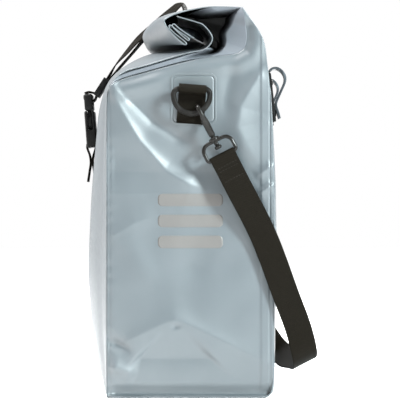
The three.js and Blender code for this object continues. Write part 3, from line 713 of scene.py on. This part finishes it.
FRONT_END = [
    (-92.7, 0.6), (-92.7, 60), (-92.7, 120), (-92.7, 180), (-92.7, 240), (-92.7, 300), (-92.6, 330),
    (-91.5, 346), (-77.7, 363.7), (-45, 374.4), (-3, 387), (18, 392.2), (24.6, 403), (14.2, 418),
    (8.5, 420.3), (-14.6, 427),
]
FRONT_MIDDLE = [
    (-101, 1), (-116, 60), (-121.5, 120), (-121, 180), (-118, 240), (-112.5, 300), (-106.5, 336),
    (-95.5, 363), (-74, 383), (-48, 395), (-10, 399), (12, 401), (21, 409), (10, 423), (-2, 429),
    (-16, 432),
]
ROLL_END = [
    (58.5, 438), (38, 438.8), (17, 438.4), (-11, 432.5), (-22, 428.5), (-29.3, 423), (-27.5, 417.5),
    (-20.5, 408.5), (-5, 395.4), (-3.2, 396), (-3.6, 398), (-18.6, 410.6), (-23.6, 416.4), (-22.2, 417.6),
    (-17.2, 412.6), (-2.2, 400), (-0.6, 400.6), (-1.2, 402.8), (-15.6, 413.4), (-19.6, 417.6),
    (-18.2, 418.6), (-13.6, 414.8), (1.5, 404.4), (4.5, 403),
]
ROLL_MIDDLE = [
    (58.5, 439), (38, 441), (17, 441.5), (-15, 440), (-42, 432), (-57.5, 416), (-51, 402.5), (-28, 400.5),
    (-4, 402), (9, 404), (16, 410.5), (9, 420), (-10, 425), (-30, 419), (-34, 411), (-20, 409),
]
BACK_MIDDLE = [
    (86, 0.8), (93.5, 4), (95.6, 14), (97, 60), (98, 130), (98.4, 200), (96, 274), (92.3, 331), (88, 372),
    (82.2, 403), (59.5, 439),
]
STIFFENER_END = [(-18, 414), (-10, 410.2), (1, 404.8), (15, 397.5)]
STIFFENER_MIDDLE = [(-34, 406.5), (-24, 406.5), (-14, 406.5), (-4, 406.5)]
# How many rows of the front sheet's grid lie on its upright part, below the folded top.
LOWER_FRONT_ROWS = 150


def front_grid():
    grid = crossing_sheet(FRONT_END, FRONT_MIDDLE, 121, 240, 2.2, HALF_WIDTH - 0.4, 1.2, 11)
    x, y, z = np.abs(grid[..., 0]), grid[..., 1], grid[..., 2]
    lower = 1 - smoothstep(z, 330, 350)
    pulled = np.exp(-(x / 30) ** 4) * smoothstep(z, 175, 205) * (1 - smoothstep(z, 246, 275))
    band = smoothstep(x, 140.5, 142.5)
    hollow = np.exp(-((x - 122) / 13) ** 2)
    grid[..., 1] += lower * (4.0 * pulled * (y < 0) - 0.9 * band + 2.2 * hollow)
    return grid


def front_surface(grid, x, z):
    """Y of the front sheet's grid at one place on its lower part."""
    column = grid[:LOWER_FRONT_ROWS, np.abs(grid[0, :, 0] - x).argmin()]
    return np.interp(z, column[:, 2], column[:, 1])


def build_front():
    grid = front_grid()
    obj = grid_object("front_sheet", grid, [FABRIC_OUT, FABRIC_IN])
    return finish_sheet(obj, "front_panel")


def build_roll():
    grid = crossing_sheet(ROLL_END, ROLL_MIDDLE, 110, 260, 3.0, HALF_WIDTH - 0.6, 1.2, 12)
    bite = STRAP_BITE * np.exp(-(grid[..., 0] / 26) ** 4)
    centre = np.array(ROLL_MIDDLE[6:]).mean(axis=0)
    away = grid[..., 1:] - centre
    distance = np.linalg.norm(away, axis=-1)
    upper = smoothstep(grid[..., 2], 402, 420) * (1 - smoothstep(grid[..., 1], 10, 50))
    grid[..., 1:] -= away / distance[..., None] * (bite * upper * smoothstep(distance, 16, 30))[..., None]
    obj = grid_object("rolled_collar_sheet", grid, [FABRIC_OUT, FABRIC_IN], flip=True)
    return finish_sheet(obj, "rolled_collar")


def build_stiffener():
    low, high = box_mm("collar_stiffener")
    grid = crossing_sheet(STIFFENER_END, STIFFENER_MIDDLE, 60, 16, 3.0, high[0], 0.0)
    obj = grid_object("collar_stiffener_strip", grid, [FABRIC_IN])
    thicken(obj, 1.2, 0.0)
    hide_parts("collar_stiffener")
    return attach(obj, "root")


def build_back():
    seam = [(84, 0.8), (90, 4)] + BACK_EDGE[2:-1] + [(59, 438)]
    grid = crossing_sheet(seam, BACK_MIDDLE, 90, 200, 12, HALF_WIDTH - 0.2, 0.8, 13)
    obj = grid_object("back_sheet", grid, [FABRIC_OUT, FABRIC_IN], flip=True)
    return finish_sheet(obj, "back_panel")


def build_base():
    columns, rows = 60, 40
    s = np.linspace(-1, 1, columns)
    t = np.linspace(0, 1, rows)
    x = np.broadcast_to(s * (HALF_WIDTH - 0.2), (rows, columns))
    front = SEAM_FRONT - 8 * (1 - s ** 2)
    y = front[None, :] * (1 - t)[:, None] + 85 * t[:, None]
    edge = np.maximum(np.abs(s)[None, :], np.abs(2 * t - 1)[:, None])
    z = 0.55 + 0.5 * smoothstep(edge, 0.93, 1.0) + 0.12 * (1 + wander(x, y, 21))
    grid = np.stack([x, y, z], axis=-1)
    obj = grid_object("base_sheet", grid, [FABRIC_OUT, FABRIC_IN], flip=True)
    return finish_sheet(obj, "base_panel")


# ---- pieces that lie on the gusset ----
def rounded_grid(centre, size, radius, columns, rows):
    """A grid over a rounded rectangle, its corners pulled in to the arcs."""
    half_y, half_z = size[0] / 2, size[1] / 2
    grid = np.zeros((rows, columns, 2))
    for r, v in enumerate(np.linspace(-half_z, half_z, rows)):
        cut = max(0.0, abs(v) - (half_z - radius))
        width = half_y - radius + math.sqrt(max(0.0, radius ** 2 - cut ** 2))
        grid[r, :, 0] = centre[0] + np.linspace(-width, width, columns)
        grid[r, :, 1] = centre[1] + v
    return grid


def outline_groove(flat, centre, half, radius, inset):
    """A pressed line that runs round a rounded rectangle, inset from its edge."""
    beyond_y = np.abs(flat[..., 0] - centre[0]) - (half[0] - radius)
    beyond_z = np.abs(flat[..., 1] - centre[1]) - (half[1] - radius)
    outside = np.hypot(np.maximum(beyond_y, 0), np.maximum(beyond_z, 0))
    inward = radius - outside - np.minimum(np.maximum(beyond_y, beyond_z), 0)
    return np.exp(-((inward - inset) / 0.55) ** 2)


def build_on_gusset(name, node, side, radius, lift, thickness, material, steps, groove=0):
    low, high = box_mm(node)
    centre = ((low[1] + high[1]) / 2, (low[2] + high[2]) / 2)
    flat = rounded_grid(centre, (high[1] - low[1], high[2] - low[2]), radius, steps, steps)
    y, z = flat[..., 0], flat[..., 1]
    x = gusset_x(y, z, side) + side * lift
    if groove:
        half = (high[1:] - low[1:]) / 2
        x = x - side * 0.8 * outline_groove(flat, centre, half, radius, groove)
    obj = grid_object(name, np.stack([x, y, z], axis=-1), [material], flip=side < 0)
    thicken(obj, thickness)
    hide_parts(node)
    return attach(obj, "root")


def build_bars_and_patches():
    for name, side in SIDES.items():
        for place in ("upper", "middle", "lower"):
            build_on_gusset(f"film_bar_{name}_{place}", f"reflective_bar_{name}_{place}", side, 5, 0.16, 0.12,
                            FILM, 40)
        build_on_gusset(f"ring_patch_sheet_{name}", f"ring_patch_{name}", side, 8, 0.55, 0.5,
                        FABRIC_PATCH, 120, groove=3.2)


# ---- webbing ----
def circle(centre, radius, first, second, steps):
    """Points round a circle in the plane of two directions."""
    turns = np.arange(steps) * 2 * math.pi / steps
    return [centre + radius * (first * math.cos(turn) + second * math.sin(turn)) for turn in turns]


def tube_faces(base, rows, steps):
    """Faces of a closed tube whose rings of vertices follow one another from the vertex base."""
    faces = []
    for row in range(rows - 1):
        for step in range(steps):
            a = base + row * steps + step
            b = base + row * steps + (step + 1) % steps
            faces.append((a, b, b + steps, a + steps))
    last = base + (rows - 1) * steps
    faces.append(tuple(base + step for step in reversed(range(steps))))
    faces.append(tuple(last + step for step in range(steps)))
    return faces


def ribbon(name, points, across, width, count):
    """Flat webbing along a line. across gives the width direction, squared to the line at each point."""
    line = spline(points, count)
    along = np.gradient(line, axis=0)
    along /= np.linalg.norm(along, axis=1)[:, None]
    across = np.asarray(across, float)
    if across.ndim == 2:
        across = spread_along(points, across, count)
    across = np.broadcast_to(across, line.shape)
    wide = across - (across * along).sum(axis=1)[:, None] * along
    wide /= np.linalg.norm(wide, axis=1)[:, None]
    normal = np.cross(along, wide)
    run = run_along(line)
    section = ribbon_section(width, WEBBING)
    ring = len(section)
    vertices = []
    for centre, w, n in zip(line, wide, normal):
        vertices.extend(centre + w * a + n * b for a, b in section)
    reach = run_along(np.vstack([section, section[:1]]))
    uvs = []
    for low, high in zip(run[:-1], run[1:]):
        for left, right in zip(reach[:-1], reach[1:]):
            uvs += [(left, low), (right, low), (right, high), (left, high)]
    end_caps = 2 * ring
    uvs += [(0.0, 0.0)] * end_caps
    return mesh_object(name, vertices, tube_faces(0, count, ring), [WOVEN], uvs)


def spread_along(points, values, count):
    """Takes directions given at the points of a line to count even steps along it."""
    run = run_along(np.array(points))
    places = np.linspace(0, run[-1], count)
    return np.stack([np.interp(places, run, values[:, k]) for k in range(3)], axis=1)


def ribbon_section(width, thickness):
    """Closed outline of the webbing: flat faces, slightly thicker selvages and round edges."""
    steps = 12
    top = []
    for a in np.linspace(-width / 2 + thickness / 2, width / 2 - thickness / 2, steps):
        edge = abs(a) / (width / 2)
        swell = 0.10 * math.exp(-((edge - 0.9) / 0.05) ** 2)
        top.append((a, thickness / 2 + swell))
    right = [(width / 2 - 0.1, thickness / 4), (width / 2 - 0.1, -thickness / 4)]
    bottom = [(a, -b) for a, b in reversed(top)]
    left = [(-a, -b) for a, b in right]
    return np.array(top + right + bottom + left)[::-1]


# How far each layer of the folded strap end lies from the middle between them.
LAYER_APART = 0.95


def strap_run(side):
    """Points of the folded end: up the inner layer, round the oval ring's bar and down the outer one."""
    bar = 75.3
    loop = 2.9
    centre = vec(side * RING_X, RING_Y, RING_Z)
    out = vec(side, 0, 0)
    points = [centre + STRAP_AWAY * d - out * LAYER_APART for d in (124, 112, 98, 86)]
    points.append(centre + STRAP_AWAY * (bar + 3.2) - out * 2.2)
    for angle in (-80, -40, 0, 40, 80):
        turn = math.radians(angle)
        points.append(centre + STRAP_AWAY * (bar - loop * math.cos(turn)) + out * loop * math.sin(turn))
    points.append(centre + STRAP_AWAY * (bar + 3.2) + out * 2.2)
    points += [centre + STRAP_AWAY * d + out * LAYER_APART for d in (86, 98, 112)]
    return points


# The hanging run of the strap: (distance in from the rings, Y, Z) at each side and (X, Y, Z) behind the bag.
STRAP_DOWN = [(10, 82, 182), (10, 107, 116), (9, 120.5, 80), (14, 127.5, 54), (32, 130, 40)]
STRAP_BEHIND = [(70, 126, 33), (0, 120, 28.5), (-70, 116, 28)]
STRAP_UP = [
    (32, 112.5, 30), (9, 104, 38), (4, 93, 56), (3, 86, 80), (3, 85.5, 110), (2, 86, 145), (0, 80.5, 182),
]


def strap_middle():
    down = [vec(RING_X - inward, y, z) for inward, y, z in STRAP_DOWN]
    behind = [vec(*point) for point in STRAP_BEHIND]
    up = [vec(-RING_X + inward, y, z) for inward, y, z in STRAP_UP]
    return down + behind + up


def build_shoulder_strap():
    points = strap_run(1) + strap_middle() + strap_run(-1)[::-1]
    obj = ribbon("shoulder_strap_webbing", points, STRAP_ACROSS, STRAP_WIDTH, 620)
    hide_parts("shoulder_strap", "strap_end_right", "strap_end_left")
    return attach(obj, "strap")


# Rings of one stitch: how far along its half length, and the radius there.
STITCH_RINGS = [(-1.0, 0.12), (-0.7, 0.36), (0.0, 0.42), (0.7, 0.36), (1.0, 0.12)]
STITCH_LENGTH = 2.6
STITCH_PITCH = 3.4
STITCH_SIDES = 8


def stitch_row(name, start, end, outward, body):
    """A row of raised stitches from start to end, each a small spindle half sunk in the webbing."""
    distance = np.linalg.norm(end - start)
    along = (end - start) / distance
    side = np.cross(outward, along)
    count = max(2, int(distance / STITCH_PITCH))
    vertices, faces = [], []
    for middle in (np.arange(count) + 0.5) / count:
        base = len(vertices)
        for part, radius in STITCH_RINGS:
            centre = start + along * (middle * distance + part * STITCH_LENGTH / 2)
            vertices.extend(circle(centre, radius, side, outward, STITCH_SIDES))
        faces.extend(tube_faces(base, len(STITCH_RINGS), STITCH_SIDES))
    obj = mesh_object(name, vertices, faces, [THREAD])
    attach(obj, body)


def build_strap_stitches():
    """Three rows of stitches across each folded strap end."""
    for name, side in SIDES.items():
        centre = vec(side * RING_X, RING_Y, RING_Z)
        outward = vec(side, 0, 0)
        face = centre + outward * (LAYER_APART + WEBBING / 2)
        half = STRAP_ACROSS * 12.0
        for index, down in enumerate((86.5, 90.5, 103)):
            middle = face + STRAP_AWAY * down
            stitch_row(f"strap_stitch_{name}_{index}", middle - half, middle + half, outward, "strap")


def build_ring_tabs():
    for name, side in SIDES.items():
        low, high = box_mm(f"ring_tab_{name}")
        bar_z = RING_HIGH[2] - RING_ROD
        loop = RING_ROD + 0.7 + WEBBING / 2
        inner = GUSSET_PLANE + 1.6
        outer = inner + WEBBING + 0.3
        line = [(inner, 307), (inner, 322), (inner, 333)]
        line += [(inner + 3.4, bar_z - 2), (RING_X - loop, bar_z + loop * 0.4)]
        for angle in (125, 90, 45, 0, -45, -90):
            turn = math.radians(angle)
            line.append((RING_X + loop * math.cos(turn), bar_z + loop * math.sin(turn)))
        line += [(RING_X - 4.5, bar_z - loop - 0.7), (outer + 1.4, 334.5), (outer, 327), (outer, 309)]
        lean = math.radians(4.6)
        middle = (low[1] + high[1]) / 2
        points = [vec(side * x, middle + (z - bar_z) * math.tan(lean), z) for x, z in line]
        level = (0, math.cos(lean), -math.sin(lean))
        obj = ribbon(f"ring_tab_webbing_{name}", points, level, TAB_WIDTH, 120)
        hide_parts(f"ring_tab_{name}")
        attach(obj, "root")


# Points of the closure strap as (Y, Z, twist in degrees), from the rack side over the roll to the buckle.
CLOSURE_LINE = [
    (96.6, 290, 0), (93.8, 331, 0), (89.8, 371, 0), (84.2, 404, 0), (64, 441.5, 2), (40, 443, 4),
    (20, 443.2, 6), (2, 443.8, 8), (-6.2, 447, 10), (-7.4, 453.4, 12), (-10.4, 457, 15), (-15.6, 455.6, 20),
    (-21, 451, 23), (-30, 443.5, 24), (-46, 430, 22), (-62, 416.5, 18), (-78, 398.5, 13), (-90, 384.6, 5),
    (-96, 374.4, 0), (-100.4, 367.2, 0), (-108.4, 354.3, 0), (-113.4, 346.4, 0), (-115.6, 341.6, 0),
    (-120, 339.3, 0), (-125.4, 339.8, 0), (-127.4, 343, 0), (-127.6, 347, 0),
]
TAIL_LINE = [
    (-127.2, 350, 0), (-122, 351.6, 0), (-113.6, 350.5, 0), (-106.2, 356.4, 0), (-97, 367, 0),
    (-85.5, 381, 0), (-71.5, 397, 0), (-60, 410.8, 2), (-54.5, 417.6, 5),
]


def twisted_across(line):
    """Width directions for a strap in the plane X = 0, its right edge dipping by each point's twist."""
    flat = np.array(line, float)
    run = np.gradient(flat[:, :2], axis=0)
    run /= np.linalg.norm(run, axis=1)[:, None]
    outward = np.stack([np.zeros(len(run)), run[:, 1], -run[:, 0]], axis=1)
    twist = np.radians(flat[:, 2])[:, None]
    return vec(1, 0, 0) * np.cos(twist) - outward * np.sin(twist)


def build_closure_strap():
    for name, line, count in (("closure_webbing", CLOSURE_LINE, 260), ("closure_tail", TAIL_LINE, 90)):
        points = [vec(0, y, z) for y, z, _ in line]
        obj = ribbon(name, points, twisted_across(line), CLOSURE_WIDTH, count)
        if name == "closure_webbing":
            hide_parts("closure_strap")
        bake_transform(obj)


# Heights of the buckle's lower strap on the front sheet, with its gap to the sheet, and its loop above them.
ANCHOR_RISE = [(214, 1.4), (230, 1.4), (243, 1.8), (256, 2.6), (270, 2.8)]
ANCHOR_LOOP = [
    (-114, 286), (-114.6, 290.2), (-118.6, 291.6), (-123.2, 290.4), (-124.4, 285), (-121.2, 275),
    (-120.2, 266), (-121.6, 256), (-123.4, 243.5),
]


def build_anchor_strap():
    sheet = front_grid()
    rising = [(front_surface(sheet, 0, z) - gap, z) for z, gap in ANCHOR_RISE]
    points = [vec(0, y, z) for y, z in rising + ANCHOR_LOOP]
    obj = ribbon("buckle_anchor_webbing", points, (1, 0, 0), CLOSURE_WIDTH, 140)
    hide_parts("buckle_anchor_strap")
    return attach(obj, "root")


def build_anchor_patch():
    """The welded patch that holds the lower end of the buckle's strap to the front sheet."""
    low, high = box_mm("front_anchor_patch")
    centre = ((low[0] + high[0]) / 2, (low[2] + high[2]) / 2)
    columns, rows, skip = 50, 40, 3
    flat = rounded_grid(centre, (high[0] - low[0], high[2] - low[2]), 6, columns, rows)
    sheet = front_grid()
    coarse = np.array([[front_surface(sheet, x, z) for x, z in row] for row in flat[::skip, ::skip]])
    fine = np.array([np.interp(range(columns), range(0, columns, skip), row) for row in coarse])
    fine = np.array([np.interp(range(rows), range(0, rows, skip), column) for column in fine.T]).T
    over_strap = 2.0 * np.exp(-((flat[..., 0]) / 14) ** 8) * smoothstep(flat[..., 1], 204, 210)
    grid = np.stack([flat[..., 0], fine - 0.9 - over_strap, flat[..., 1]], axis=-1)
    obj = grid_object("front_anchor_sheet", grid, [FABRIC_PATCH])
    thicken(obj, 0.7)
    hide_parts("front_anchor_patch")
    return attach(obj, "root")


# ---- hardware that keeps its CAD shape ----
def shade_smooth_group():
    group = bpy.data.node_groups.new("shade_smooth", "GeometryNodeTree")
    group.interface.new_socket("Geometry", in_out="INPUT", socket_type="NodeSocketGeometry")
    group.interface.new_socket("Geometry", in_out="OUTPUT", socket_type="NodeSocketGeometry")
    start = group.nodes.new("NodeGroupInput")
    smooth = group.nodes.new("GeometryNodeSetShadeSmooth")
    end = group.nodes.new("NodeGroupOutput")
    group.links.new(start.outputs[0], smooth.inputs[0])
    group.links.new(smooth.outputs[0], end.inputs[0])
    return group


SMOOTH = shade_smooth_group()


def dress(node, material, bevel=0.0, angle=40, grow=0.0):
    """Gives a CAD node its material, small round edges and smooth shading."""
    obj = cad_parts[node]
    obj.data.materials.clear()
    obj.data.materials.append(material)
    weld = obj.modifiers.new("weld", "WELD")
    weld.merge_threshold = 0.00001
    if bevel:
        edge = obj.modifiers.new("edge", "BEVEL")
        edge.width = bevel * MM
        edge.segments = 2
        edge.limit_method = "ANGLE"
        edge.angle_limit = math.radians(35)
    if grow:
        swell = obj.modifiers.new("swell", "DISPLACE")
        swell.strength = grow * MM
        swell.mid_level = 0.0
    split = obj.modifiers.new("split", "EDGE_SPLIT")
    split.split_angle = math.radians(angle)
    shade = obj.modifiers.new("shade", "NODES")
    shade.node_group = SMOOTH


def dress_hardware():
    for name in SIDES:
        dress(f"d_ring_{name}", RING_PLASTIC, 0.0, 50)
        dress(f"hook_gate_{name}", BLACK_METAL, 0.3)
        dress(f"swivel_ring_{name}", BLACK_METAL, 0.0, 60, 0.4)
        dress(f"rack_hook_plate_{name}", PLASTIC, 0.5)
        dress(f"rack_hook_{name}", STEEL, 0.4)
        dress(f"buckle_prong_{name}", PLASTIC, 0.3)
        for place in ("lower", "upper"):
            dress(f"plate_rivet_{name}_{place}", BLACK_METAL, 0.2)
    dress("strap_adjuster", PLASTIC, 0.5)
    dress("strap_keeper", PLASTIC, 0.5)
    dress("buckle_female", PLASTIC, 0.4)
    dress("buckle_male", PLASTIC, 0.4)
    for node in ("back_board", "base_board"):
        dress(node, PLASTIC, 0.3)
    dress("back_anchor_patch", FABRIC_PATCH, 0.2)


# ---- the snap hook ----
def lathe(name, stations, steps, material):
    """A closed round part: stations are (centre, radius) pairs, and the rings turn with the line."""
    centres = np.array([centre for centre, _ in stations])
    along = np.gradient(centres, axis=0)
    along /= np.linalg.norm(along, axis=1)[:, None]
    vertices = []
    for (centre, radius), forward in zip(stations, along):
        first = np.cross(forward, STRAP_ACROSS)
        first /= np.linalg.norm(first)
        second = np.cross(forward, first)
        vertices.extend(circle(centre, radius, first, second, steps))
    return mesh_object(name, vertices, tube_faces(0, len(stations), steps), [material])


# The snap hook below its bend: how far down the strap and out from its line, and the radius there.
HOOK_BODY = [
    (24, 6.9, 2.6), (28, 5.6, 3.2), (32, 3.6, 3.8), (37, 1.2, 4.0), (42, 0.2, 3.9), (50.4, 0, 3.5),
]
HOOK_COLLAR = [
    (51, 0, 2.6), (52.4, 0, 2.6), (52.9, 0, 5.4), (53.6, 0, 6.0), (56.2, 0, 6.0), (56.9, 0, 5.2),
]
HOOK_KNOB = [
    (57.2, 0, 2.4), (62.6, 0, 2.4), (63.0, 0, 3.8), (64.2, 0, 4.3), (65.6, 0, 4.1), (66.6, 0, 2.6),
]


def build_snap_hook(name, side):
    """Hook, barrel, collar and knob in one run, measured down the strap from the ring's centre."""
    centre = vec(side * RING_X, RING_Y, RING_Z)
    outward = vec(side, 0, 0)
    bend = 7.2
    wire = 2.3
    stations = []
    for down, radius in ((25.5, wire * 0.5), (25, wire * 0.9), (24, wire)):
        stations.append((centre + STRAP_AWAY * down - outward * bend, radius))
    for degrees in range(0, 181, 15):
        turn = math.radians(degrees)
        down, out = RING_RADIUS - bend * math.sin(turn), -bend * math.cos(turn)
        stations.append((centre + STRAP_AWAY * down + outward * out, wire))
    for down, out, radius in HOOK_BODY + HOOK_COLLAR + HOOK_KNOB:
        stations.append((centre + STRAP_AWAY * down + outward * out, radius))
    obj = lathe(f"snap_hook_body_{name}", stations, 28, BLACK_METAL)
    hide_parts(f"snap_hook_{name}")
    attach(obj, f"snap_hook_{name}")


build_camera()
build_stage()
for side_name, side_sign in SIDES.items():
    build_gusset(side_name, side_sign)
    build_tuck(side_name, side_sign)
build_front()
build_roll()
build_stiffener()
build_back()
build_base()
build_bars_and_patches()
build_shoulder_strap()
build_strap_stitches()
build_ring_tabs()
build_closure_strap()
build_anchor_strap()
build_anchor_patch()
dress_hardware()
for side_name, side_sign in SIDES.items():
    build_snap_hook(side_name, side_sign)
